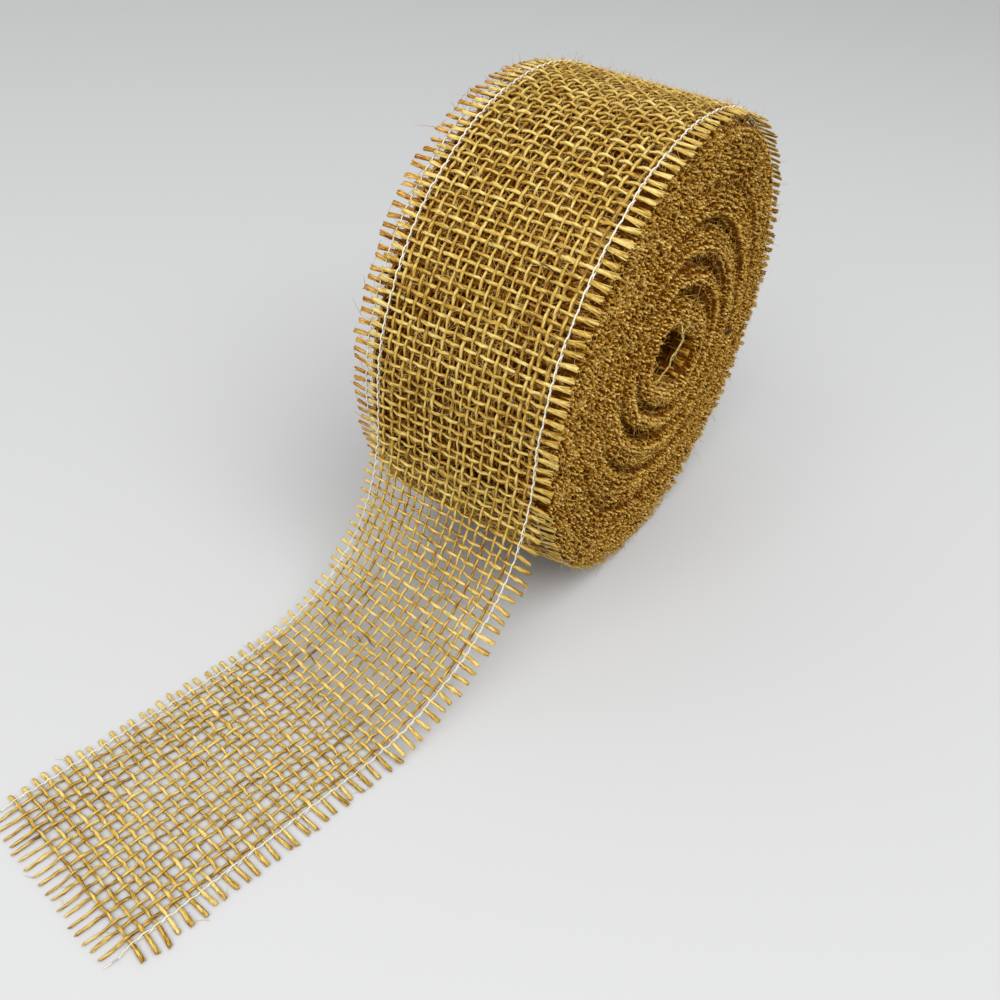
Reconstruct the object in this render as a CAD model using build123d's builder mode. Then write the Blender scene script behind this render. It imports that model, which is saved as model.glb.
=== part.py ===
"""A coreless roll of open-weave jute ribbon with its free end drawn off and lying on the table.

Frame: origin at the centre of the roll's eye, +X along the roll's axis, +Z up, free end towards -Y.
The ribbon's path is measured on its outer face, in millimetres. It starts where the ribbon leaves
the roll at the front, drops, bends out and lies flat, and it veers a little towards -X on the way.
"""
from build123d import *
from math import cos, pi, radians, sin
import os

os.makedirs("parts", exist_ok=True)

# ---- driving dimensions ----
ROLL_R = 67.6            # outer radius of the roll
STITCH_HALF = 24.5       # middle of the ribbon to each row of stitching
HALF_WIDTH = 30.0        # middle of the ribbon to the tips of the cross yarns
CLOTH_T = 1.4            # thickness of the woven cloth
EDGE_HALF = 25.2         # cloth bound by the stitching ends here, bare weft ends beyond

WARP_COUNT = 18
WARP_PITCH = 2.65
WARP_W = 0.9
WARP_H = 0.6
WEFT_PITCH = 2.86
WEFT_W = 1.5
WEFT_H = 1.0
THREAD_W = 0.5
THREAD_H = 0.35

EYE_R = 8.0              # open eye in the middle of the roll
TURN_T = 1.0             # cloth pressed flat inside the roll
TURN_GAP = 0.3
SECOND_TURN_T = 1.3      # the turn just under the outer one is pressed less
WOUND_TURNS = 41
LAYER_GAP = 0.3          # clearance between the outer turn and the coil that turns inside it
SECOND_TURN_SHIFT = -5.0  # the turn under the outer one sits further to the left

DROP = 11.3              # straight fall below the point where the ribbon leaves the roll
TAIL_LENGTH = 161.3      # from that point to the last weft
END_FRINGE = 5.8         # bare warp ends past the last weft
THREAD_END = 5.8         # loose sewing thread past the last weft
VEER = 9.0               # degrees the free end points away from square, towards -X
VEER_LENGTH = 73.0       # path length over which it turns
OUTER_TURN_ARC = 345.0   # degrees wrapped before the ribbon passes under its own free end

# ---- worked out ----
BEND_R = ROLL_R - CLOTH_T - DROP
SPAN_LENGTH = DROP + BEND_R * pi / 2
FLOOR_LENGTH = TAIL_LENGTH - SPAN_LENGTH
WARP_OFFSETS = [(i - (WARP_COUNT - 1) / 2) * WARP_PITCH for i in range(WARP_COUNT)]
STITCH_OFFSETS = {"left": -STITCH_HALF, "right": STITCH_HALF}
ROOT = 0.4               # how far each weft end reaches into the cloth's edge
WEFT_END = HALF_WIDTH - EDGE_HALF + ROOT
SPAN_STATIONS = 12
STEP = 0.5               # integration step along the path


def heading(s):
    """Fall angle below level and veer angle, both in radians, at path length s."""
    fall = pi / 2 if s < DROP else max(0.0, pi / 2 - (s - DROP) / BEND_R)
    turn = min(1.0, s / VEER_LENGTH)
    return fall, -radians(VEER) * turn * turn * (3 - 2 * turn)


def cloth_plane(s):
    """Cross-section plane at s: x across the ribbon, y outwards, z along the ribbon."""
    x, y, z = 0.0, -ROLL_R, 0.0
    steps = max(1, round(s / STEP))
    for i in range(steps):
        fall, veer = heading((i + 0.5) * s / steps)
        x += cos(fall) * sin(veer) * s / steps
        y -= cos(fall) * cos(veer) * s / steps
        z -= sin(fall) * s / steps
    fall, veer = heading(s)
    across = (cos(veer), sin(veer), 0)
    along = (cos(fall) * sin(veer), -cos(fall) * cos(veer), -sin(fall))
    return Plane(origin=(x, y, z), x_dir=across, z_dir=along)


START = cloth_plane(0)
SPAN_PLANES = [cloth_plane(i * SPAN_LENGTH / (SPAN_STATIONS - 1)) for i in range(SPAN_STATIONS)]
FLOOR = SPAN_PLANES[-1]
OVER_THE_TOP = Axis((0, 0, 0), (-1, 0, 0))
TURN_WEFTS = int(radians(OUTER_TURN_ARC) * ROLL_R / WEFT_PITCH)
SPAN_WEFTS = int(SPAN_LENGTH / WEFT_PITCH)
FLOOR_WEFTS = int(FLOOR_LENGTH / WEFT_PITCH)

SECOND_OUTER_R = ROLL_R - CLOTH_T - LAYER_GAP
SECOND_INNER_R = SECOND_OUTER_R - SECOND_TURN_T
SPIRAL_START_R = EYE_R + TURN_T + TURN_GAP
SPIRAL_PITCH = (SECOND_INNER_R - TURN_GAP - TURN_T - SPIRAL_START_R) / WOUND_TURNS


def band_profile():
    """Cloth between the stitch rows, grooved for the warps above and the threads on both faces."""
    with Locations((0, -CLOTH_T / 2)):
        Rectangle(2 * EDGE_HALF, CLOTH_T)
    with Locations(*[(u, -WARP_H / 2) for u in WARP_OFFSETS]):
        Rectangle(WARP_W, WARP_H, mode=Mode.SUBTRACT)
    with Locations(*[(u, -THREAD_H / 2) for u in STITCH_OFFSETS.values()]):
        Rectangle(THREAD_W, THREAD_H, mode=Mode.SUBTRACT)
    with Locations(*[(u, THREAD_H / 2 - CLOTH_T) for u in STITCH_OFFSETS.values()]):
        Rectangle(THREAD_W, THREAD_H, mode=Mode.SUBTRACT)


def weft_end_ring(radius, count, start_deg, arc):
    """Cross-sections of the weft ends around a wrapped turn, running down from start_deg."""
    with PolarLocations(radius, count, start_deg, -arc, endpoint=False):
        Rectangle(WEFT_H, WEFT_W)


def weft_end_pairs(start, length, count):
    """Weft ends on both edges of a free stretch of the run."""
    middle = HALF_WIDTH - WEFT_END / 2
    with Locations(*[cloth_plane(start + (i + 0.5) * length / count) for i in range(count)]):
        with Locations((-middle, -CLOTH_T / 2), (middle, -CLOTH_T / 2)):
            Box(WEFT_END, WEFT_H, WEFT_W)


def yarn_profile(offset, width, low, high):
    with Locations((offset, (low + high) / 2)):
        Rectangle(width, high - low)


def thread_ring():
    Circle(SECOND_OUTER_R)
    Circle(SECOND_OUTER_R - THREAD_H, mode=Mode.SUBTRACT)


def save(piece, name):
    piece.part.label = name
    export_step(piece.part, f"parts/{name}.step")


# ---- the wefts: cross yarns, one grooved band for each stretch of the run ----
weft_step = OUTER_TURN_ARC / TURN_WEFTS
with BuildPart() as wefts_outer_turn:
    with BuildSketch(START):
        band_profile()
    revolve(axis=OVER_THE_TOP, revolution_arc=OUTER_TURN_ARC)
    for side in (1, -1):
        with BuildSketch(Plane.YZ.offset(side * (EDGE_HALF - ROOT))):
            weft_end_ring(ROLL_R - CLOTH_T / 2, TURN_WEFTS, 180 - weft_step / 2, OUTER_TURN_ARC)
        extrude(amount=side * WEFT_END)
save(wefts_outer_turn, "wefts_outer_turn")

with BuildPart() as wefts_free_span:
    for plane in SPAN_PLANES:
        with BuildSketch(plane):
            band_profile()
    loft()
    weft_end_pairs(0, SPAN_LENGTH, SPAN_WEFTS)
save(wefts_free_span, "wefts_free_span")

with BuildPart() as wefts_floor_tail:
    with BuildSketch(FLOOR):
        band_profile()
    extrude(amount=FLOOR_LENGTH)
    weft_end_pairs(SPAN_LENGTH, FLOOR_LENGTH, FLOOR_WEFTS)
save(wefts_floor_tail, "wefts_floor_tail")

# ---- yarns along the run: round the roll, down the span and along the table in one piece ----
# Each is name: offset across, width, inner face, outer face, length past the last weft.
run_yarns = {f"warp_yarn_{number:02d}": (offset, WARP_W, -WARP_H, 0, END_FRINGE)
             for number, offset in enumerate(WARP_OFFSETS, start=1)}
for side, offset in STITCH_OFFSETS.items():
    run_yarns[f"needle_thread_{side}"] = (offset, THREAD_W, -THREAD_H, 0, THREAD_END)
    run_yarns[f"bobbin_thread_{side}"] = (offset, THREAD_W, -CLOTH_T, THREAD_H - CLOTH_T, THREAD_END)

for name, (offset, width, low, high, end) in run_yarns.items():
    with BuildPart() as run_yarn:
        with BuildSketch(START):
            yarn_profile(offset, width, low, high)
        revolve(axis=OVER_THE_TOP, revolution_arc=OUTER_TURN_ARC)
        for plane in SPAN_PLANES:
            with BuildSketch(plane):
                yarn_profile(offset, width, low, high)
        loft()
        with BuildSketch(FLOOR):
            yarn_profile(offset, width, low, high)
        extrude(amount=FLOOR_LENGTH + end)
    save(run_yarn, name)

# ---- the coil: everything wound under the outer turn ----
with BuildPart() as second_turn:
    with BuildSketch(Plane.YZ.offset(SECOND_TURN_SHIFT)):
        Circle(SECOND_OUTER_R)
        Circle(SECOND_INNER_R, mode=Mode.SUBTRACT)
    extrude(amount=EDGE_HALF, both=True)
    for offset in STITCH_OFFSETS.values():
        with BuildSketch(Plane.YZ.offset(SECOND_TURN_SHIFT + offset)):
            thread_ring()
        extrude(amount=THREAD_W / 2, both=True, mode=Mode.SUBTRACT)
    for side in (1, -1):
        with BuildSketch(Plane.YZ.offset(SECOND_TURN_SHIFT + side * (EDGE_HALF - ROOT))):
            weft_end_ring((SECOND_OUTER_R + SECOND_INNER_R) / 2, TURN_WEFTS, 180, 360)
        extrude(amount=side * WEFT_END)
save(second_turn, "second_turn")

for side, offset in STITCH_OFFSETS.items():
    with BuildPart() as coil_thread:
        with BuildSketch(Plane.YZ.offset(SECOND_TURN_SHIFT + offset)):
            thread_ring()
        extrude(amount=THREAD_W / 2, both=True)
    save(coil_thread, f"coil_thread_{side}")

with BuildPart() as wound_turns:
    with BuildSketch(Plane.YZ):
        with BuildLine():
            for face in (0.0, TURN_T):
                for turn in range(WOUND_TURNS):
                    radius = SPIRAL_START_R + turn * SPIRAL_PITCH + face
                    CenterArc((0, 0), radius, 0, 180)
                    CenterArc((SPIRAL_PITCH / 2, 0), radius + SPIRAL_PITCH / 2, 180, 180)
            Line((SPIRAL_START_R, 0), (SPIRAL_START_R + TURN_T, 0))
            last_r = SPIRAL_START_R + WOUND_TURNS * SPIRAL_PITCH
            Line((last_r, 0), (last_r + TURN_T, 0))
        make_face()
    extrude(amount=HALF_WIDTH, both=True)
save(wound_turns, "wound_turns")

with BuildPart() as eye_turn:
    with BuildSketch(Plane.YZ):
        Circle(EYE_R + TURN_T)
        Circle(EYE_R, mode=Mode.SUBTRACT)
    extrude(amount=HALF_WIDTH, both=True)
save(eye_turn, "eye_turn")
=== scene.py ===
"""Looks for a coreless roll of open-weave jute ribbon with its free end on the table.

The cloth is built yarn by yarn. A point on it is (s, u, v) in millimetres: s runs along the ribbon's
outer face, below zero round the roll and above zero down the free end; u runs across, v outwards.
"""
from math import cos, pi, radians, sin

import bpy
import numpy as np
from mathutils import Matrix, Vector


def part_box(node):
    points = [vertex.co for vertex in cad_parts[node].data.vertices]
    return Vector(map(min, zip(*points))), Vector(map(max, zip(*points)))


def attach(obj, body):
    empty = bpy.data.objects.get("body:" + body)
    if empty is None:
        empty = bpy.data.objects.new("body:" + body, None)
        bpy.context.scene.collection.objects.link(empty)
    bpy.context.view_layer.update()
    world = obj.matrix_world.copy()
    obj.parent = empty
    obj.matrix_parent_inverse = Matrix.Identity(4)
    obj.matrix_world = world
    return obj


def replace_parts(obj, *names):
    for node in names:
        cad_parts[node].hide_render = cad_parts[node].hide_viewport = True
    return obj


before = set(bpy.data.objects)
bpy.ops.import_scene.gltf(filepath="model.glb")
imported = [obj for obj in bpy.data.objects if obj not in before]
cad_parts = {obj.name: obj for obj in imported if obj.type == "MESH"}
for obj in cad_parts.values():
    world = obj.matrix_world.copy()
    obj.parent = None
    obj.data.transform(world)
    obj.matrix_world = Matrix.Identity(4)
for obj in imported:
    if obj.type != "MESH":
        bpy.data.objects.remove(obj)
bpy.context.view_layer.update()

MM = 0.001
RNG = np.random.default_rng(7)

# ---- sizes, in millimetres, from the frame ----
ROLL_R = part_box("wefts_outer_turn")[1].z / MM
FLOOR_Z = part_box("wefts_floor_tail")[0].z / MM
CLOTH_T = (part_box("wefts_floor_tail")[1].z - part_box("wefts_floor_tail")[0].z) / MM
HALF_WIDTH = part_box("wound_turns")[1].x / MM
SECOND_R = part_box("second_turn")[1].z / MM
STITCH_HALF = -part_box("needle_thread_left")[1].x / MM + 0.25

# ---- the run's shape, as in the CAD model ----
DROP = 11.3               # straight fall where the ribbon leaves the roll
TAIL_LENGTH = 161.3       # from the roll to the last weft
END_FRINGE = 5.8          # bare warp ends past the last weft
VEER = radians(9.0)       # the free end turns this far aside,
VEER_LENGTH = 73.0        # over this length
TURN_LENGTH = radians(345.0) * ROLL_R
BEND_R = ROLL_R - CLOTH_T - DROP      # from the fall on to the table

# ---- the weave ----
WARP_COUNT = 18
WARP_PITCH = 2.65
WEFT_PITCH = 2.86
MID = -CLOTH_T / 2        # middle of the cloth
WARP_HALF = (0.40, 0.29)  # half width and half thickness of a warp yarn
WEFT_HALF = (0.475, 0.32)  # the same of a weft yarn
WARP_CRIMP = 0.26         # how far a yarn rises and dips at its crossings
WEFT_CRIMP = 0.36
WARP_DRIFT_STEP = 21.0    # a warp yarn strays sideways over this length
WARP_SIZE_STEP = 5.5      # and changes thickness over this one
FREE_END_THINNER = 0.10   # part taken off the yarns where nothing backs them
FREE_LEFT_CUT = 1.9       # how much shorter the free end's left fringe is
HAIR_CLEARANCE = 0.08     # loose fibres stay this far above the table


# ================= the path of the ribbon =================
TABLE_STEP = 0.25         # the free end's path is worked out at these stations, and read between them
TABLE_S = np.arange(0.0, TAIL_LENGTH + END_FRINGE + 20, TABLE_STEP)


def _fall_and_veer(s):
    """How steeply the free end falls, and how far it has turned aside, at s."""
    fall = np.where(s < DROP, pi / 2, np.clip(pi / 2 - (s - DROP) / BEND_R, 0, None))
    turn = np.clip(s / VEER_LENGTH, 0, 1)
    return fall, -VEER * turn * turn * (3 - 2 * turn)


def _path_table():
    """The free end's middle line, and its across and outward directions, at every TABLE_S."""
    fall, veer = _fall_and_veer(TABLE_S[:-1] + TABLE_STEP / 2)
    step = np.stack([np.cos(fall) * np.sin(veer), -np.cos(fall) * np.cos(veer), -np.sin(fall)], -1)
    centre = np.vstack([[0, -ROLL_R, 0], np.cumsum(step * TABLE_STEP, 0) + [0, -ROLL_R, 0]])
    fall, veer = _fall_and_veer(TABLE_S)
    across = np.stack([np.cos(veer), np.sin(veer), 0 * veer], -1)
    outward = np.stack([np.sin(fall) * np.sin(veer), -np.sin(fall) * np.cos(veer), np.cos(fall)], -1)
    return centre, across, outward


CENTRE, ACROSS, OUTWARD = _path_table()


def place(s, u, v):
    """Points of the cloth as (n, 3) places in millimetres."""
    s, u, v = (np.asarray(a, float).ravel() for a in np.broadcast_arrays(s, u, v))
    angle = pi + s / ROLL_R
    radius = ROLL_R + v
    wrapped = np.stack([u, radius * np.cos(angle), radius * np.sin(angle)], -1)
    free = np.zeros((len(s), 3))
    for axis in range(3):
        free[:, axis] = (np.interp(s, TABLE_S, CENTRE[:, axis])
                         + u * np.interp(s, TABLE_S, ACROSS[:, axis])
                         + v * np.interp(s, TABLE_S, OUTWARD[:, axis]))
    return np.where((s < 0)[:, None], wrapped, free)


# ================= mesh batches =================
class Batch:
    """Collects tubes and turns them into one mesh with fibre directions and tones; a tone holds a yarn's own
    tone and any painted shade or light.
    """

    def __init__(self):
        self.verts, self.fibre, self.tone = [], [], []
        self.loops, self.starts = [], []
        self.count = 0
        self.loop_count = 0

    def add(self, verts, faces, fibre, tone):
        """faces is a list of (n, k) index arrays; verts, fibre and tone are per point."""
        for f in faces:
            self.starts.append(self.loop_count + np.arange(len(f)) * f.shape[1])
            self.loops.append(f.ravel() + self.count)
            self.loop_count += f.size
        self.verts.append(verts)
        self.fibre.append(fibre)
        self.tone.append(np.broadcast_to(tone, len(verts)))
        self.count += len(verts)

    def build(self, name, material, body, slot):
        """Makes the object; points are in millimetres up to here and in metres in the mesh."""
        mesh = bpy.data.meshes.new(name)
        verts = np.concatenate(self.verts) * MM
        loops = np.concatenate(self.loops).astype(np.int32)
        starts = np.concatenate(self.starts).astype(np.int32)
        mesh.vertices.add(len(verts))
        mesh.vertices.foreach_set("co", verts.astype(np.float32).ravel())
        mesh.loops.add(len(loops))
        mesh.loops.foreach_set("vertex_index", loops)
        mesh.polygons.add(len(starts))
        mesh.polygons.foreach_set("loop_start", starts)
        mesh.update(calc_edges=True)
        mesh.validate()
        mesh.shade_smooth()
        fibre = mesh.attributes.new("fibre", "FLOAT_VECTOR", "POINT")
        fibre.data.foreach_set("vector", np.concatenate(self.fibre).astype(np.float32).ravel())
        tone = mesh.attributes.new("tone", "FLOAT", "POINT")
        tone.data.foreach_set("value", np.concatenate(self.tone).astype(np.float32))
        mesh.materials.append(material)
        piece = bpy.data.objects.new(name, mesh)
        bpy.context.scene.collection.objects.link(piece)
        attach(piece, body)
        return piece


def tube_faces(rings, sides, tubes=1):
    """Side quads and two end caps for each of several tubes stored one after another."""
    first = np.arange(tubes)[:, None, None] * rings * sides
    i = np.arange(rings - 1)[None, :, None] * sides
    k = np.arange(sides)[None, None, :]
    n = (k + 1) % sides
    quads = np.stack([first + i + k, first + i + n, first + i + sides + n, first + i + sides + k], -1)
    first = first[:, :, 0]
    back = first + np.arange(sides)[::-1][None, :]
    front = first + (rings - 1) * sides + np.arange(sides)[None, :]
    return [quads.reshape(-1, 4), back, front]


def cloth_tube(batch, s, u, v, half_w, half_h, sides, along, tone, seed, lobes=0.15, edge=0.26, where=place):
    """A twisted yarn through cloth points; along is "s" for lengthwise yarns and "u" for cross yarns; edge
    sets the painted shade on the yarn's sides and the painted highlight on its top.
    """
    s, u, v, half_w, half_h, tone = np.broadcast_arrays(s, u, v, half_w, half_h, tone)
    phi = np.arange(sides)[None, :] * 2 * pi / sides
    travel = s if along == "s" else u
    spin = (travel * 1.1 + seed * 3)[:, None]
    ridge = 1 + lobes * np.cos(3 * phi - spin)
    wide = half_w[:, None] * np.cos(phi) * ridge
    high = half_h[:, None] * np.sin(phi) * ridge
    if along == "s":
        verts = where(s[:, None] + 0 * wide, u[:, None] + wide, v[:, None] + high)
    else:
        verts = where(s[:, None] - wide, u[:, None] + 0 * wide, v[:, None] + high)
    round_yarn = phi - spin / 3
    fibre = np.stack([travel[:, None] + seed * 50 + 0 * round_yarn, 0.5 * np.cos(round_yarn) + seed * 17,
                      0.5 * np.sin(round_yarn)], -1).reshape(-1, 3)
    # painted shade and highlight: the yarn's sides drawn darker and its top lighter, standing in for the
    # shade in the gaps between yarns
    shade = tone[:, None] - edge * np.cos(phi) ** 2 + edge * (0.55 * np.sin(phi) - 0.05)
    batch.add(verts, tube_faces(len(s), sides), fibre, (shade + 0 * wide).ravel())


def space_tube(batch, points, radius, sides, tone):
    """A thin round fibre or thread through points in space; radius is per point or one number."""
    points = np.asarray(points, float)
    radius = np.broadcast_to(radius, len(points))
    tangent = np.gradient(points, axis=0)
    tangent /= np.linalg.norm(tangent, axis=1)[:, None] + 1e-9
    helper = np.array([0.3, 0.5, 0.81]) if abs(tangent[0] @ [0.3, 0.5, 0.81]) < 0.9 else np.array([1.0, 0, 0])
    side = np.cross(tangent, helper)
    side /= np.linalg.norm(side, axis=1)[:, None] + 1e-9
    other = np.cross(tangent, side)
    phi = np.arange(sides) * 2 * pi / sides
    ring = side[:, None, :] * np.cos(phi)[None, :, None] + other[:, None, :] * np.sin(phi)[None, :, None]
    verts = (points[:, None, :] + ring * radius[:, None, None]).reshape(-1, 3)
    seed = RNG.uniform(0, 500)
    travel = np.concatenate([[0], np.cumsum(np.linalg.norm(np.diff(points, axis=0), axis=1))])
    fibre = np.stack([np.repeat(travel, sides) + seed, np.tile(np.cos(phi), len(points)) * 0.2 + seed * 0.37,
                      np.tile(np.sin(phi), len(points)) * 0.2], -1)
    batch.add(verts, tube_faces(len(points), sides), fibre, tone)


def wander(x, size, wave, waves=3):
    """A smooth random wave along x."""
    out = np.zeros_like(np.asarray(x, float))
    for n in range(waves):
        length = wave * RNG.uniform(0.6, 1.6) / (1 + 0.6 * n)
        out += np.sin(2 * pi * x / length + RNG.uniform(0, 6.28)) * size / (1 + n)
    return out


def slubs(x, chance_per_mm, rise, width):
    """Thick places in a hand-spun yarn: a factor of 1 with a few smooth bumps."""
    low, high = x.min(), x.max()
    out = np.ones_like(x)
    for _ in range(RNG.poisson(chance_per_mm * (high - low))):
        at = RNG.uniform(low, high)
        out += RNG.uniform(0.3, 1.0) * rise * np.exp(-((x - at) / (width * RNG.uniform(0.6, 1.5))) ** 2)
    return out


def smoothstep(low, high, x):
    """0 below low, 1 above high, and an eased step between."""
    t = np.clip((np.asarray(x, float) - low) / (high - low), 0, 1)
    return t * t * (3 - 2 * t)


def smooth_interp(x, knots, values):
    """Interpolation with eased steps between knots."""
    x = np.asarray(x, float)
    at = np.clip(np.searchsorted(knots, x) - 1, 0, len(knots) - 2)
    t = smoothstep(0, 1, (x - knots[at]) / (knots[at + 1] - knots[at]))
    return values[at] * (1 - t) + values[at + 1] * t


def extended_index(x, crossings, pitch):
    """Fractional index of x among rising crossings, carried on past both ends."""
    index = np.interp(x, crossings, np.arange(len(crossings)))
    index = np.where(x < crossings[0], (x - crossings[0]) / pitch, index)
    return np.where(x > crossings[-1], len(crossings) - 1 + (x - crossings[-1]) / pitch, index)


# ================= the weave =================
STRAND_HALF = np.array([0.21, 0.18, 0.11])   # half width of a frayed strand from root to tip
STRANDS = 5                                  # strands that a cut weft end splits into
FANS = ((0, -1, 0.22), (-1, 1, 0.42))        # which end of a weft, which side, and how wide it fans


class Weave:
    """A length of plain-woven cloth: first where its yarns cross, then the yarns themselves."""

    def __init__(self, first, last, shift=0.0, depth=0.0, tone=0.0, sides=9, fineness=4, tips=(4.8, 5.4),
                 where=place, shade=None, girth=1.0):
        self.first, self.last = first, last
        self.shift, self.depth, self.tone = shift, depth, tone
        self.sides, self.fineness, self.tips = sides, fineness, tips
        # shade gives painted shade across the cloth, as a function of u
        self.where, self.shade, self.girth = where, shade or (lambda u: 0 * u), girth
        count = int(round((last - first) / WEFT_PITCH))
        pitch = (last - first) / count
        self.weft_s = first + (np.arange(count) + 0.5) * pitch + RNG.uniform(-0.26, 0.26, count)
        self.warp_u = (np.arange(WARP_COUNT) - (WARP_COUNT - 1) / 2) * WARP_PITCH
        self.warp_u = self.warp_u + RNG.uniform(-0.18, 0.18, WARP_COUNT)
        self.warp_knots = np.arange(first - 30, last + 45, WARP_DRIFT_STEP)
        self.warp_drift = RNG.normal(0, 0.25, (WARP_COUNT, len(self.warp_knots)))
        self.weft_knots = np.linspace(-33, 33, 9)
        drift = RNG.normal(0, 0.24, (count, len(self.weft_knots)))
        self.weft_drift = 0.6 * drift + 0.2 * (np.roll(drift, 1, 1) + np.roll(drift, -1, 1))
        self.size_knots = np.arange(first - 20, last + 20, WARP_SIZE_STEP)
        shape = (WARP_COUNT, len(self.size_knots))
        slub = (RNG.uniform(0, 1, shape) < 0.035) * RNG.uniform(0.2, 0.5, shape)
        self.warp_size = RNG.uniform(0.86, 1.14, (WARP_COUNT, 1)) * (1 + RNG.normal(0, 0.08, shape) + slub)
        self.warp_tone = RNG.normal(0, 0.09, (WARP_COUNT, 1)) + RNG.normal(0, 0.05, shape)
        self.warp_seed = RNG.uniform(0, 9, WARP_COUNT)

    def warp_at(self, i, s):
        """Where warp i lies across the ribbon, at s."""
        return self.warp_u[i] + self.shift + smooth_interp(s, self.warp_knots, self.warp_drift[i])

    def girth_at(self, s):
        """The yarns are drawn a little thinner on the free end, where nothing backs them."""
        return self.girth * (1 - FREE_END_THINNER * smoothstep(-10, 40, s))

    def weft_at(self, j, u):
        """Where weft j lies along the ribbon, at u."""
        return self.weft_s[j] + smooth_interp(u - self.shift, self.weft_knots, self.weft_drift[j])

    def add_weft(self, batch, j, free_left=0.0):
        """One cross yarn with its frayed ends; free_left shortens the left end."""
        at = self.weft_s[j]
        step = WARP_PITCH / self.fineness
        left = -STITCH_HALF - self.tips[0] + free_left + RNG.uniform(-0.7, 0.6)
        right = STITCH_HALF + self.tips[1] + RNG.uniform(-0.8, 0.4) - 0.5 * float(at < -90)
        u = np.append(np.arange(left, right - 0.3, step), right)
        s = self.weft_at(j, u + self.shift)
        crossings = np.array([self.warp_at(i, at) - self.shift for i in range(WARP_COUNT)])
        # over and under the warps, then flat and leaning outside the stitching
        inside = np.clip((STITCH_HALF + 0.4 - np.abs(u)) / 1.6, 0, 1)
        over = np.cos(pi * (extended_index(u, crossings, WARP_PITCH) + j))
        outside = np.clip(np.abs(u) - STITCH_HALF - 0.3, 0, None)
        lean = np.where(u > 0, RNG.uniform(-0.16, -0.02), RNG.uniform(-0.10, 0.03)) * (at < 8)
        v = MID + self.depth + WEFT_CRIMP * RNG.uniform(0.8, 1.12) * over * inside + outside * lean
        v = v - 0.03 * outside * (at >= 8)
        s = s + outside * RNG.uniform(-0.12, 0.12, 2)[(u > 0).astype(int)]
        # thick and thin places
        size = RNG.uniform(0.84, 1.12) * slubs(u, 0.009, 0.38, 3.2) * (1 + wander(u, 0.06, 9.0))
        size = size * (1 + RNG.normal(0, 0.085, len(u)))
        s = s + RNG.normal(0, 0.045, len(u))
        girth = float(self.girth_at(at))
        tuft = 1 + RNG.uniform(0.0, 0.05, 2)[(u > 0).astype(int)] * outside
        half_w = np.clip(WEFT_HALF[0] * girth * size * tuft * (1 + 0.08 * over * inside), 0.15, 1.2)
        half_h = np.clip(WEFT_HALF[1] * girth * (0.45 + 0.55 * size) * (1 - 0.04 * outside), 0.10, 0.55)
        half_w[[0, -1]] *= 0.88
        half_h[[0, -1]] *= 0.75
        # lighter on the free end, darker towards the tips; painted light just outside the stitching, more on
        # the left, where the fringe faces away from the lamps; and the weave's painted shade
        tone = self.tone + RNG.normal(0, 0.085) + 0.10 * (size - 1) + wander(u, 0.05, 14.0)
        tone = tone + 0.07 * float(smoothstep(0, 40, at))
        on_table = float(smoothstep(0, 30, at))
        tone = tone + 0.05 * np.clip(outside, 0, 2) + np.where(u < 0, 0.06, 0.0) * np.clip(outside, 0, 2)
        tone = tone - (0.03 + 0.09 * on_table) * np.clip(outside - 2.6, 0, None) + self.shade(u)
        seed = RNG.uniform(0, 9)
        cloth_tube(batch, s, u + self.shift, v, half_w, half_h, self.sides, "u", tone, seed, where=self.where)
        # each cut end splits into a fan of strands; those on the left get painted light
        t = np.linspace(0, 1, 5)
        for end, way, spread in FANS:
            spread = spread * (1 - 0.75 * on_table)
            root = way * (STITCH_HALF + 0.4)
            s_root, v_root = self.weft_at(j, root + self.shift), v[end] - lean[end] * abs(u[end] - root)
            for place_in_fan in np.linspace(-1, 1, STRANDS):
                aside = (place_in_fan + RNG.uniform(-0.25, 0.25)) * (0.33 + spread * t ** 1.3)
                reach = (u[end] - root) * RNG.uniform(0.86, 1.07)
                drop = v_root + (v[end] - v_root) * t + RNG.uniform(-0.22, 0.22) * t
                cloth_tube(batch, s_root + (s[end] - s_root) * t + aside, root + self.shift + reach * t, drop,
                           girth * (0.25 - 0.06 * t ** 3), girth * (0.20 - 0.05 * t ** 3), 5, "u",
                           tone[end] + 0.08 * (way < 0) + RNG.normal(0.03, 0.09), RNG.uniform(0, 9),
                           lobes=0, where=self.where)
        return s, u + self.shift, v

    def add_warp(self, batch, i, start, end):
        """One lengthwise yarn from start to end; past the last weft it lies loose."""
        count = max(2, int(round((end - start) / (WEFT_PITCH / self.fineness))))
        s = np.linspace(start, end, count + 1)
        u = self.warp_at(i, s)
        crossings = np.array([self.weft_at(j, self.warp_u[i]) for j in range(len(self.weft_s))])
        over = -np.cos(pi * (extended_index(s, crossings, WEFT_PITCH) + i))
        free = np.clip(s - self.last, 0, None)
        loose = smoothstep(0, 3, free)
        v = MID + self.depth + WARP_CRIMP * over * (1 - loose) - 0.25 * loose
        size = smooth_interp(s, self.size_knots, self.warp_size[i])
        half_w = np.clip(WARP_HALF[0] * self.girth_at(s) * size * (1 + 0.08 * over * (1 - loose)), 0.15, 0.9)
        half_h = np.clip(WARP_HALF[1] * self.girth_at(s) * (0.45 + 0.55 * size), 0.12, 0.5)
        half_w = half_w * (1 + RNG.normal(0, 0.085, len(s)))
        tone = self.tone - 0.02 + smooth_interp(s, self.size_knots, self.warp_tone[i])
        # the weave's painted shade
        tone = tone + self.shade(self.warp_u[i])
        if end > self.last:
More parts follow.
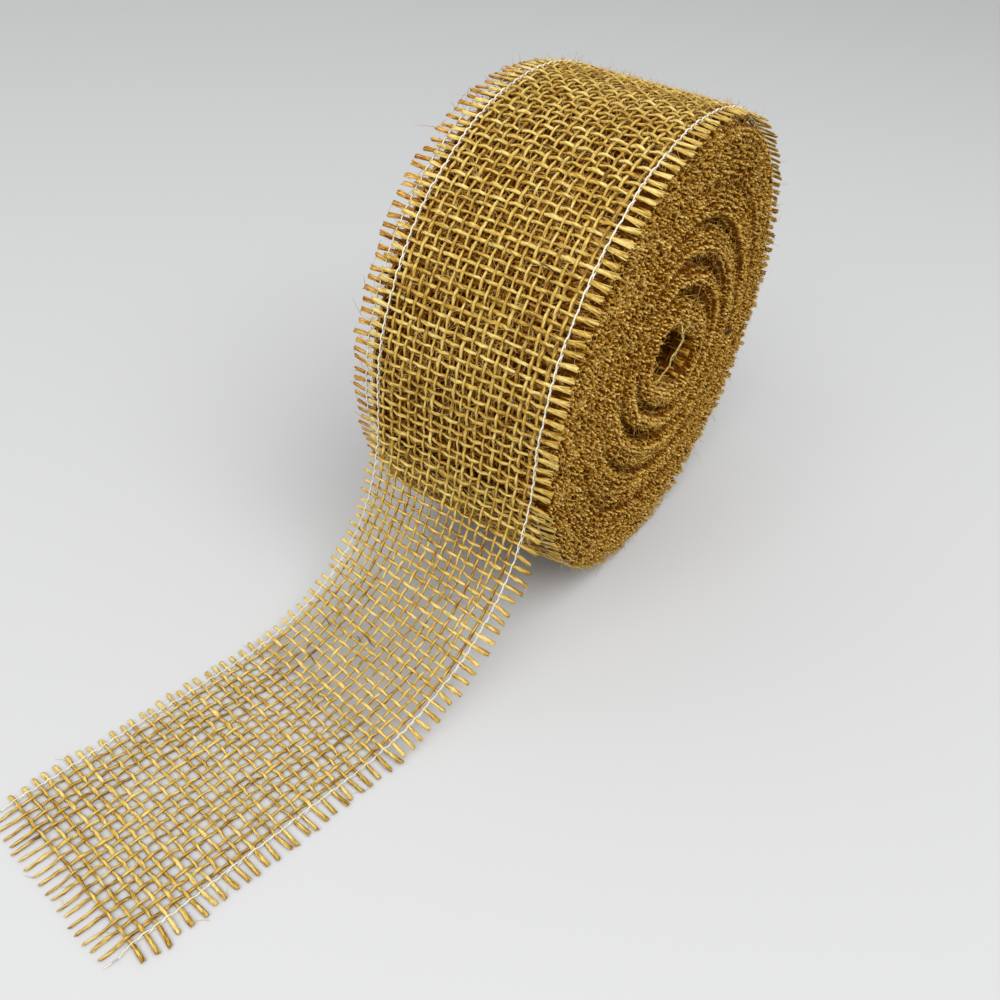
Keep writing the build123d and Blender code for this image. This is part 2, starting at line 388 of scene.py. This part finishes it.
            # the bare end past the last weft: bowed, lighter, and split at the tip
            bow = RNG.uniform(-0.05, 0.05) * free + RNG.uniform(-0.30, 0.30) * np.sin(free * 0.42)
            u = u + bow
            half_w = half_w * (1 - 0.02 * free)
            tone = tone + 0.14 * loose
            half_w[-1] *= 0.88
            half_h[-1] *= 0.75
            for _ in range(4):
                t = np.array([0.0, 0.5, 1.0])
                aside = RNG.uniform(-0.7, 0.7) * half_w[-1]
                reach = t * RNG.uniform(0.35, 0.9)
                cloth_tube(batch, s[-1] - 0.3 + reach, u[-1] + aside + t * t * aside * 0.5,
                           v[-1] + t * RNG.uniform(-0.2, 0.1), STRAND_HALF, STRAND_HALF * 0.75, 4, "s",
                           tone[-1] - 0.04, self.warp_seed[i], lobes=0)
        cloth_tube(batch, s, u, v, half_w, half_h, self.sides, "s", tone, self.warp_seed[i], where=self.where)
        return s, u, v


# ================= materials =================
def socket_math(tree, operation, first, second, third=None):
    """One math node on sockets or plain numbers."""
    node = tree.nodes.new("ShaderNodeMath")
    node.operation = operation
    for n, value in enumerate((first, second, third)):
        if value is None:
            continue
        if isinstance(value, (int, float)):
            node.inputs[n].default_value = value
        else:
            tree.links.new(value, node.inputs[n])
    return node.outputs[0]


def fibre_noise(tree, stretch, detail):
    """Noise drawn out along the yarn: stretch is cycles per millimetre along and round it."""
    attribute = tree.nodes.new("ShaderNodeAttribute")
    attribute.attribute_name = "fibre"
    mapping = tree.nodes.new("ShaderNodeMapping")
    mapping.inputs["Scale"].default_value = (stretch[0], stretch[1], stretch[1])
    noise = tree.nodes.new("ShaderNodeTexNoise")
    noise.inputs["Scale"].default_value = 1.0
    noise.inputs["Detail"].default_value = detail
    noise.inputs["Roughness"].default_value = 0.62
    tree.links.new(attribute.outputs["Vector"], mapping.inputs["Vector"])
    tree.links.new(mapping.outputs["Vector"], noise.inputs["Vector"])
    return noise.outputs["Fac"]


def spun(name, dark, mid, light, rough, gloss, sheen, streaks=2.3, bump=0.8, depth=0.2, stretch=(0.45, 1.9)):
    """Spun fibre: streaks along the yarn, slow colour changes, and the tone each point carries: the yarn's
    own tone with the painted shade and light laid into it.
    """
    material = bpy.data.materials.new(name)
    material.use_nodes = True
    tree = material.node_tree
    shader = tree.nodes["Principled BSDF"]
    strands = fibre_noise(tree, stretch, 3.0)
    blotch = fibre_noise(tree, (0.12, 0.5), 1.0)
    tone = tree.nodes.new("ShaderNodeAttribute")
    tone.attribute_name = "tone"
    level = socket_math(tree, "MULTIPLY_ADD", strands, streaks, 0.5 - 0.5 * streaks)
    level = socket_math(tree, "MULTIPLY_ADD", blotch, 0.7, level)
    level = socket_math(tree, "ADD", level, tone.outputs["Fac"])
    level = socket_math(tree, "ADD", level, -0.35)
    ramp = tree.nodes.new("ShaderNodeValToRGB")
    stops = ramp.color_ramp.elements
    stops[0].position, stops[0].color = 0.0, (*dark, 1)
    stops[1].position, stops[1].color = 0.95, (*light, 1)
    middle = stops.new(0.45)
    middle.color = (*mid, 1)
    tree.links.new(level, ramp.inputs["Fac"])
    tree.links.new(ramp.outputs["Color"], shader.inputs["Base Color"])
    shader.inputs["Roughness"].default_value = rough
    shader.inputs["Specular IOR Level"].default_value = gloss
    shader.inputs["Sheen Weight"].default_value = sheen
    shader.inputs["Sheen Roughness"].default_value = 0.4
    shader.inputs["Sheen Tint"].default_value = (*light, 1)
    ridge = tree.nodes.new("ShaderNodeBump")
    ridge.inputs["Strength"].default_value = bump
    ridge.inputs["Distance"].default_value = depth * MM
    tree.links.new(strands, ridge.inputs["Height"])
    tree.links.new(ridge.outputs["Normal"], shader.inputs["Normal"])
    return material


JUTE_RUN = spun("jute_run", dark=(0.15, 0.055, 0.002), mid=(0.47, 0.283, 0.033), light=(0.71, 0.56, 0.20),
                rough=0.5, gloss=0.28, sheen=0.05)
# painted shade: a darker, redder, duller copy of the jute for the inner turns, which lie in shade under the
# outer one
JUTE_UNDER_PAINTED_SHADE = spun("jute_under_painted_shade", dark=(0.060, 0.012, 0.0004), mid=(0.28, 0.100, 0.005),
                  light=(0.68, 0.42, 0.11), rough=0.8, gloss=0.05, sheen=0.0)
JUTE_ENDS = spun("jute_cut_ends", dark=(0.09, 0.024, 0.0005), mid=(0.44, 0.208, 0.011),
                 light=(0.84, 0.59, 0.18), rough=0.8, gloss=0.05, sheen=0.0)
THREAD = spun("sewing_thread", dark=(0.48, 0.42, 0.29), mid=(0.73, 0.68, 0.54), light=(0.86, 0.83, 0.72),
              rough=0.5, gloss=0.3, sheen=0.1, streaks=1.2, bump=0.5, depth=0.08, stretch=(1.5, 6.0))
BARK = spun("bark_flecks", dark=(0.02, 0.012, 0.008), mid=(0.05, 0.028, 0.015), light=(0.12, 0.07, 0.04),
            rough=0.7, gloss=0.2, sheen=0.0)


# ================= the visible run =================
def stray_fibres(batch, anchors, length, count, tone, radius=0.07):
    """Fine loose fibres standing off the yarns at random anchor points in space."""
    picks = RNG.integers(0, len(anchors), count)
    t = np.linspace(0, 1, 5)[:, None]
    for start in anchors[picks]:
        heading, bend = RNG.normal(0, 0.55, (2, 3))
        reach = length * RNG.uniform(0.4, 1.3)
        points = start + heading * t * reach + bend * t * t * reach
        points[:, 2] = np.maximum(points[:, 2], FLOOR_Z + HAIR_CLEARANCE)
        space_tube(batch, points, radius * (1 - 0.55 * t[:, 0]), 3, tone + RNG.normal(0, 0.15))


def woven_piece(name, weave, start, end, body, material, slot, fuzz=0, fuzz_length=1.6, overrun=0.0):
    """The yarns of a stretch of cloth as one mesh, and the loose fibres on it as another."""
    batch = Batch()
    anchors = []
    for j, at in enumerate(weave.weft_s):
        if start <= at < end:
            free_left = FREE_LEFT_CUT * float(smoothstep(-20, 6, at)) if weave is run else 0.0
            anchors.append(weave.where(*weave.add_weft(batch, j, free_left)))
    for i in range(WARP_COUNT):
        anchors.append(weave.where(*weave.add_warp(batch, i, start, end + overrun * RNG.uniform(0.86, 1.0))))
    piece = batch.build(name, material, body, slot)
    if fuzz:
        hair = Batch()
        stray_fibres(hair, np.concatenate(anchors), fuzz_length, fuzz, weave.tone + 0.25)
        hair.build(name + "_fibres", material, body, slot)
    return piece


run = Weave(-TURN_LENGTH, TAIL_LENGTH)
third = TURN_LENGTH / 3
full_turn = 2 * pi * ROLL_R
tail = woven_piece("ribbon_tail", run, 0.0, TAIL_LENGTH, "ribbon_run", JUTE_RUN, "jute_weft", fuzz=1500,
                   overrun=END_FRINGE)
turn_parts = []
for n, (name, fuzz) in enumerate((("under", 700), ("back", 1800), ("front", 7200))):
    start = -TURN_LENGTH + n * third
    part = woven_piece(f"ribbon_turn_{name}", run, start, start + third if n < 2 else 0.0, "ribbon_run",
                       JUTE_RUN, "jute_weft", fuzz=fuzz)
    turn_parts.append(part)

# the next two turns, seen through the holes of the outer one; the second also shows past its left edge. Both
# carry painted shade, as they lie under the outer turn: a darker copy of the jute, the third a darker tone
# still
second_weave = Weave(-full_turn, 0.0, shift=-5.0, depth=SECOND_R - ROLL_R, tone=-0.02, sides=5,
                     fineness=2.1, tips=(4.4, 4.5))
second = woven_piece("second_turn_cloth", second_weave, -full_turn, 0.0, "coil", JUTE_UNDER_PAINTED_SHADE,
                     "jute_coil", fuzz=6000, fuzz_length=2.4)
third_weave = Weave(-full_turn, 0.0, shift=-1.0, depth=SECOND_R - ROLL_R - 1.4, tone=-0.12, sides=5,
                    fineness=2, tips=(3.0, 3.0), girth=1.05)
third_cloth = woven_piece("third_turn_cloth", third_weave, -full_turn, 0.0, "coil", JUTE_UNDER_PAINTED_SHADE, "jute_coil")

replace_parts(tail, "wefts_free_span", "wefts_floor_tail",
            *[f"warp_yarn_{n:02d}" for n in range(1, WARP_COUNT + 1)])
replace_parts(turn_parts[0], "wefts_outer_turn")
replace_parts(second, "second_turn")


# ---- sewing thread ----
THREAD_HALF = (0.205, 0.165)
HIDDEN_START = (-352, -338)    # before this the outer turn lies under the free end, its thread out of sight
SECOND_RIGHT_SUNK = -1.9       # the second turn's right row doesn't show past the outer turn


def stitch_row(weave, side, flip=1.0, tail_end=0.0, sunk=0.0):
    """One thread of a lockstitch row: over each weft, drawn in between them."""
    u0 = side * STITCH_HALF + weave.shift
    s = np.arange(weave.first, weave.last + tail_end, WEFT_PITCH / 8)
    crossings = np.array([weave.weft_at(j, u0) for j in range(len(weave.weft_s))])
    phase = extended_index(s, crossings, WEFT_PITCH)
    arch = np.abs(np.cos(pi * phase)) ** 0.8
    free = np.clip(s - weave.last, 0, None)
    loose = smoothstep(0, 2, free)
    rise = 0.52 * arch - 0.04
    if flip < 0:
        rise = rise - 0.6 * (1 - smoothstep(-260, -220, s))
    sunk = sunk - 1.1 * (1 - smoothstep(*HIDDEN_START, s)) * (weave is run)
    v = MID + weave.depth + sunk + flip * rise * (1 - loose) - 0.1 * loose
    sway = 0.09 * np.sin(pi * phase + 0.6) + wander(s, 0.10, 27.0)
    u = u0 + sway * (1 - loose) + loose * free * 0.12 * side
    u = u + loose * 0.3 * np.sin(free * 0.8)
    slack = 1 - 0.3 * smoothstep(0, 40, s)
    batch = Batch()
    # the thread gets a weaker painted shade on its sides and painted highlight on its top
    cloth_tube(batch, s, u, v, THREAD_HALF[0] * slack, THREAD_HALF[1] * slack, 6, "s", 0.05, side + 2,
               lobes=0.15, edge=0.1)
    return batch


for side_name, side in (("left", -1), ("right", 1)):
    rows = (("needle_stitches", "needle_thread", run, 1.0, END_FRINGE, "ribbon_run"),
            ("bobbin_stitches", "bobbin_thread", run, -1.0, END_FRINGE - 2, "ribbon_run"),
            ("second_turn_stitches", "coil_thread", second_weave, 1.0, 0.0, "coil"))
    for name, node, weave, flip, tail_end, rider in rows:
        sunk = SECOND_RIGHT_SUNK if weave is second_weave and side > 0 else 0
        row = stitch_row(weave, side, flip, tail_end, sunk)
        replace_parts(row.build(f"{name}_{side_name}", THREAD, rider, "sewing_thread"), f"{node}_{side_name}")

# bark left on the yarns of the outer turn and the free end
FLECK_COUNT = 16
flecks = Batch()
for _ in range(FLECK_COUNT):
    at, across = RNG.uniform(-120, 150), RNG.uniform(-22, 22)
    t = np.linspace(-1, 1, 9)
    reach = RNG.uniform(1.2, 3.4)
    lengthwise = RNG.uniform() < 0.4
    cloth_tube(flecks, at + t * reach * (1.0 if lengthwise else 0.1) + 0.15 * np.sin(t * 3),
               across + t * reach * (0.1 if lengthwise else 1.0), MID + 0.62 + 0.18 * np.sin(t * 4),
               0.13 * (1.1 - t * t), 0.09 * (1.1 - t * t), 4, "s" if lengthwise else "u", 0.0,
               RNG.uniform(0, 9), lobes=0)
flecks.build("bark_flecks", BARK, "ribbon_run", "jute_weft")


# ================= the wound coil =================
EYE_MEAN_R = 11.05       # the eye is pressed oval; this is its mean radius
COIL_OUTER_R = SECOND_R - 2.0
COIL_TURNS = 40
OVAL_AXIS = radians(150)
FACE_X = HALF_WIDTH - 0.9      # how far out the cut ends reach, where the face is flat
BACKING = 1.15           # the wound cloth shows this far below the tips of its cut ends
RIM_R = 65.0             # an extra ring of cut ends on the right, under the outer turn's fringe
RIM_ARC = (radians(85), radians(375))
# ridges and grooves of the wound face: mean radius, width, height, how much weaker it is along the
# oval's long axis, and how much weaker on one side of its short axis
FACE_BANDS = (
    (15.0, 2.2, 1.4, 0.3, 0.0),
    (21.0, 1.55, -4.5, 0.80, 0.35),
    (25.0, 1.3, 1.3, 0.5, 0.2),
    (29.6, 1.55, -4.2, 0.80, 0.15),
    (33.6, 1.5, 1.0, 0.6, 0.0),
    (40.5, 1.3, -2.8, 0.9, 0.0),
    (43.5, 1.5, 0.5, 0.6, 0.0),
    (50.0, 1.2, -1.2, 0.8, 0.0),
)


def coil_radius(mean, theta):
    """Distance from the axis to a turn of that mean radius: oval near the eye, round at the rim."""
    oval = 3.7 * (1 - smoothstep(40, 62, mean))
    drift = 1.4 * smoothstep(14, 26, mean) * (1 - smoothstep(42, 62, mean))
    return mean + oval * np.cos(2 * (theta - OVAL_AXIS)) + drift * np.cos(theta - OVAL_AXIS + pi / 2)


def coil_relief(mean, theta, side):
    """How far the cut edge of a turn stands out past the roll's side, in millimetres."""
    out = 0.0
    for at, width, height, swing, lower in FACE_BANDS:
        strength = 1 - swing * (0.5 + 0.5 * np.cos(2 * (theta - OVAL_AXIS)))
        strength = strength * (1 - lower * (0.5 + 0.5 * np.cos(theta - OVAL_AXIS + pi / 2)))
        out = out + side * height * strength * np.exp(-(np.abs(mean - at) / width) ** 2.5)
    along = mean * 4.8
    wobble = 0.20 * np.sin(along + 0.6 * np.sin(theta))
    wobble = wobble + 0.16 * np.sin(along * 0.43 + 1.0 + np.cos(theta + 1))
    return out + wobble * side


def coil_point(radius, theta, x):
    """Points of the coil: distance from its axis, angle round it, and place along it."""
    return np.stack([x + 0 * radius, radius * np.cos(theta), radius * np.sin(theta)], -1)


def spiral_stations(spacing):
    """Mean radius and angle of points evenly spaced along the wound spiral."""
    theta = np.linspace(0, COIL_TURNS * 2 * pi, 60000)
    mean = EYE_MEAN_R + (COIL_OUTER_R - EYE_MEAN_R) * theta / theta[-1]
    length = np.concatenate([[0], np.cumsum(0.5 * (mean[1:] + mean[:-1]) * np.diff(theta))])
    at = np.arange(0, length[-1], spacing)
    at = at + RNG.uniform(-0.3, 0.3, len(at)) * spacing
    return np.interp(at, length, mean), np.interp(at, length, theta)


# a stub's three rings, inmost first: how far behind the tip, how thick, and how much of the lean
STUB_RINGS = ((3.6, 0.75, -0.8), (0.5, 1.0, 0.5), (0.0, 0.72, 1.0))
STUB_LEVEL = np.array([0.0, 2.9, 3.6])       # place along the stub, for the streaks
STUB_PAINTED_SHADE = np.array([-0.75, -0.22, 0.16])   # STUB_PAINTED_SHADE = np.array([-0.75, -0.22, 0.16]) # painted shade along each stub: dark at its root, down among the others, lighter up at the cut


def weft_ends(side, name):
    """The cut and split weft ends of every wound turn, as short stubs on one side of the roll."""
    mean, theta = spiral_stations(WEFT_PITCH / 2.4)
    if side > 0:
        rim = np.arange(*RIM_ARC, WEFT_PITCH / 2 / 64.6)
        mean, theta = np.append(mean, RIM_R + 0 * rim), np.append(theta, rim)
    count, sides = len(mean), 5
    radius = coil_radius(mean, theta) + RNG.normal(0, 0.19, count)
    rough = 0.14 + 0.10 * smoothstep(26, 48, mean)
    tip = FACE_X + coil_relief(mean, theta, side) + RNG.normal(0, 1, count) * rough
    outward = np.stack([0 * theta, np.cos(theta), np.sin(theta)], -1)
    around = np.stack([0 * theta, -np.sin(theta), np.cos(theta)], -1)
    lean = outward * RNG.normal(0, 0.24, count)[:, None] + around * RNG.normal(0, 0.28, count)[:, None]
    thick = RNG.uniform(0.20, 0.36, count)[:, None, None]
    across = RNG.uniform(0.24, 0.44, count)[:, None, None]
    turn = RNG.uniform(0, 1.2, count)[:, None]
    phi = np.arange(sides)[None, :] * 2 * pi / sides + turn
    rings = []
    for back, swell, reach in STUB_RINGS:
        centre = coil_point(radius, theta, side * (tip - back)) + lean * reach
        ring = (centre[:, None, :] + outward[:, None, :] * thick * swell * np.cos(phi)[:, :, None]
                + around[:, None, :] * side * across * swell * np.sin(phi)[:, :, None])
        rings.append(ring)
    verts = np.stack(rings, 1).reshape(-1, 3)
    seed = RNG.uniform(0, 500, count)[:, None, None]
    level = STUB_LEVEL[None, :, None]
    fibre = np.stack(np.broadcast_arrays(level + seed, 0.5 * np.cos(phi)[:, None, :] + seed * 0.37,
                                         0.5 * np.sin(phi)[:, None, :]), -1).reshape(-1, 3)
    # each end's own tone, plus painted shade in the face's grooves and painted light on its ridges
    own = RNG.normal(0, 0.19, count) + 0.16 * np.clip(coil_relief(mean, theta, side), -3, 1.2)
    tone = STUB_PAINTED_SHADE[None, :, None] + own[:, None, None] + 0 * phi[:, None, :]
    batch = Batch()
    quads, _, tips_cap = tube_faces(len(STUB_RINGS), sides, count)
    batch.add(verts, [quads, tips_cap], fibre, tone.ravel())
    batch.build(name, JUTE_ENDS, "coil", "jute_coil")

    # loose fibres from most of the cut ends, and longer ones round the rim
    hairs = Batch()
    tips = coil_point(radius, theta, side * (tip - 0.1)) + lean
    t = np.linspace(0, 1, 4)[:, None]
    for n in np.flatnonzero(RNG.uniform(size=count) < 0.75):
        heading = RNG.normal(0, 0.9, 3)
        heading[0] = side * abs(heading[0]) * 0.7
        reach = RNG.uniform(0.5, 2.1)
        points = tips[n] + heading * t * reach + RNG.normal(0, 0.5, 3) * t * t * reach
        space_tube(hairs, points, 0.05 * (1.2 - 0.6 * t[:, 0]), 3, 0.15 + RNG.normal(0, 0.2))
    for n in np.flatnonzero(mean > 57)[::2]:
        heading = outward[n] * RNG.uniform(0.2, 1.0) + RNG.normal(0, 0.45, 3)
        reach = RNG.uniform(1.2, 3.2)
        points = tips[n] + heading * t * reach + RNG.normal(0, 0.5, 3) * t * t * reach
        points[:, 2] = np.maximum(points[:, 2], FLOOR_Z + HAIR_CLEARANCE)
        space_tube(hairs, points, 0.045 * (1.2 - 0.6 * t[:, 0]), 3, 0.25 + RNG.normal(0, 0.15))
    hairs.build(name + "_fibres", JUTE_ENDS, "coil", "jute_coil")


weft_ends(1, "coil_weft_ends_right")
weft_ends(-1, "coil_weft_ends_left")


def wound_core():
    """The wound cloth under the cut ends: an oval ring whose sides follow the grooves of the face."""
    rows, steps = 300, 90
    theta = np.arange(rows) * 2 * pi / rows
    means = np.linspace(EYE_MEAN_R, COIL_OUTER_R, steps)
    half = FACE_X - BACKING
    loop = []
    for mean in means:
        x = half + coil_relief(mean, theta, 1)
        loop.append(coil_point(coil_radius(mean, theta), theta, x))
    for mean in means[::-1]:
        x = -half - coil_relief(mean, theta, -1)
        loop.append(coil_point(coil_radius(mean, theta), theta, x))
    for x in np.linspace(-half, half, 12)[1:-1]:
        loop.append(coil_point(coil_radius(EYE_MEAN_R, theta), theta, x))
    count = len(loop)
    verts = np.stack(loop).reshape(-1, 3)
    i = np.arange(count)[:, None]
    k = np.arange(rows)[None, :]
    n, m = (i + 1) % count, (k + 1) % rows
    quads = np.stack([i * rows + k + 0 * n, i * rows + m, n * rows + m, n * rows + k], -1).reshape(-1, 4)
    batch = Batch()
    # painted shade: the wound cloth is drawn dark, as it shows only deep between the cut ends
    batch.add(verts, [quads], verts * 1.0, -0.6)
    return batch.build("wound_core", JUTE_ENDS, "coil", "jute_coil")


def eye_place(s, u, v):
    """The innermost turn: the cloth's face looks inwards at the eye."""
    s, u, v = (np.asarray(a, float).ravel() for a in np.broadcast_arrays(s, u, v))
    theta = -s / EYE_MEAN_R
    return coil_point(coil_radius(EYE_MEAN_R, theta) - 0.55 - (v - MID), theta, u)


def eye_shade(u):
    """Painted shade: the lining is drawn darker deep inside the eye, where light hardly reaches."""
    return -0.75 * (1 - smoothstep(15, 29, np.abs(u)))


eye_turn = 2 * pi * EYE_MEAN_R
# the eye's lining gets a darker tone overall, painted shade inside the eye, and more of it deep inside
eye_weave = Weave(0.0, eye_turn, tone=-0.16, sides=8, tips=(4.2, 4.2), where=eye_place, shade=eye_shade,
                  girth=0.90)
eye_lining = woven_piece("eye_lining", eye_weave, 0.0, eye_turn, "coil", JUTE_ENDS, "jute_coil",
                         fuzz=700, fuzz_length=1.9)
core = wound_core()
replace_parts(core, "wound_turns")
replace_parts(eye_lining, "eye_turn")

# a frayed pale thread lying across the mouth of the eye: three strands twisted together along a path,
# and loose fibres, each from a station of the path and in a direction
EYE_THREAD_PATH = np.array([(29.5, -1.5, 12.0), (30.6, -2.2, 9.5), (30.9, -1.2, 6.6), (30.6, -3.0, 4.2),
                            (30.2, -5.6, 2.6), (30.6, -6.6, 0.4), (30.4, -9.6, -0.4), (30.0, -10.9, -2.1),
                            (29.8, -12.9, -1.9)])
EYE_THREAD_FIBRES = (
    (7, (0, 3.4, 1.6)), (9, (0.2, -3.2, 1.8)), (12, (0, 4.6, -0.6)), (14, (-0.6, 3.2, 2.4)),
    (17, (0.3, -3.4, 0.8)), (22, (0.4, -3.0, 2.4)), (24, (0.2, 3.6, -0.4)), (27, (0.2, 3.4, -2.2)),
    (31, (0.3, -2.0, 3.2)), (35, (0.2, 2.4, -1.6)), (38, (0.2, -1.0, -2.4)),
)
eye_thread = Batch()
corners = len(EYE_THREAD_PATH)
fine = np.linspace(0, corners - 1, 45)
trail = np.stack([np.interp(fine, np.arange(corners), EYE_THREAD_PATH[:, axis]) for axis in range(3)], -1)
trail[1:-1] = 0.5 * trail[1:-1] + 0.25 * (trail[:-2] + trail[2:])
for turn in (0.0, 2.1, 4.2):
    twist = fine * 1.9 + turn
    around = np.stack([np.cos(twist), 0.6 * np.sin(twist), np.sin(fine * 1.4 + turn)], -1)
    space_tube(eye_thread, trail + 0.13 * around, 0.085, 5, 0.30 + 0.05 * turn)
for start, way in EYE_THREAD_FIBRES:
    t = np.linspace(0, 1, 8)[:, None]
    bend = RNG.normal(0, 0.9, 3)
    kink = 0.12 * np.sin(t * 9.0 + start)
    space_tube(eye_thread, trail[start] + np.array(way) * t + bend * t * t + kink,
               0.08 * (1.1 - t[:, 0]) + 0.03, 4, 0.4)
eye_thread.build("eye_loose_thread", JUTE_RUN, "coil", "jute_coil")

# the dark crumb of bark on the wound face
crumb = Batch()
space_tube(crumb, [(29.6, 39.6, -9.9), (30.3, 40.2, -9.3), (30.5, 40.8, -8.7), (29.8, 41.5, -8.2)],
           np.array([0.2, 0.6, 0.7, 0.2]), 6, 0.0)
crumb.build("bark_crumb", BARK, "coil", "jute_coil")


# ================= stage, light and camera =================
FLOOR_SIZE = 6.0                      # metres
FLOOR_GREY = (0.537, 0.541, 0.545, 1)
WORLD_STRENGTH = 0.64
CAMERA_PLACE = (0.11786, -0.24541, 0.14929)
CAMERA_YAW, CAMERA_PITCH, CAMERA_ROLL = radians(30.1), radians(39.04), radians(5.91)


def stage():
    """A plain pale floor and an even white surround."""
    bpy.ops.mesh.primitive_plane_add(size=FLOOR_SIZE, location=(0, 0, FLOOR_Z * MM - 0.0002))
    floor = bpy.context.object
    floor.name = "studio_floor"
    material = bpy.data.materials.new("studio_floor")
    material.use_nodes = True
    shader = material.node_tree.nodes["Principled BSDF"]
    shader.inputs["Base Color"].default_value = FLOOR_GREY
    shader.inputs["Roughness"].default_value = 0.9
    floor.data.materials.append(material)
    world = bpy.data.worlds.new("studio")
    world.use_nodes = True
    world.node_tree.nodes["Background"].inputs["Color"].default_value = (1.0, 1.0, 1.0, 1)
    world.node_tree.nodes["Background"].inputs["Strength"].default_value = WORLD_STRENGTH
    bpy.context.scene.world = world


def softbox(name, location, target, size, power):
    """A soft rectangular lamp aimed at a point."""
    lamp = bpy.data.lights.new(name, "AREA")
    lamp.shape = "RECTANGLE"
    lamp.size, lamp.size_y = size
    lamp.energy = power
    light = bpy.data.objects.new(name, lamp)
    bpy.context.scene.collection.objects.link(light)
    light.location = location
    aim = Vector(target) - Vector(location)
    light.rotation_euler = aim.to_track_quat("-Z", "Y").to_euler()


def camera():
    """Three-quarter view from the front right and above, rolled a few degrees."""
    lens = bpy.data.cameras.new("camera")
    lens.lens = 37.18
    lens.sensor_width = 36.0
    lens.shift_x = 0.0039
    lens.clip_start = 0.01
    view = bpy.data.objects.new("camera", lens)
    bpy.context.scene.collection.objects.link(view)
    yaw, pitch, roll = CAMERA_YAW, CAMERA_PITCH, CAMERA_ROLL
    forward = Vector((-sin(yaw) * cos(pitch), cos(yaw) * cos(pitch), -sin(pitch)))
    right = Vector((cos(yaw), sin(yaw), 0))
    up = right.cross(forward)
    right, up = right * cos(roll) + up * sin(roll), up * cos(roll) - right * sin(roll)
    turn = Matrix((right, up, -forward)).transposed().to_4x4()
    view.matrix_world = Matrix.Translation(CAMERA_PLACE) @ turn
    bpy.context.scene.camera = view


stage()
softbox("key", (0.05, -0.84, 0.86), (0, -0.08, 0), (0.9, 0.9), 8.3)
softbox("fill", (0.62, -0.22, 1.04), (0.12, 0, -0.03), (0.9, 0.9), 8.8)
camera()
bpy.context.scene.view_settings.view_transform = "Standard"
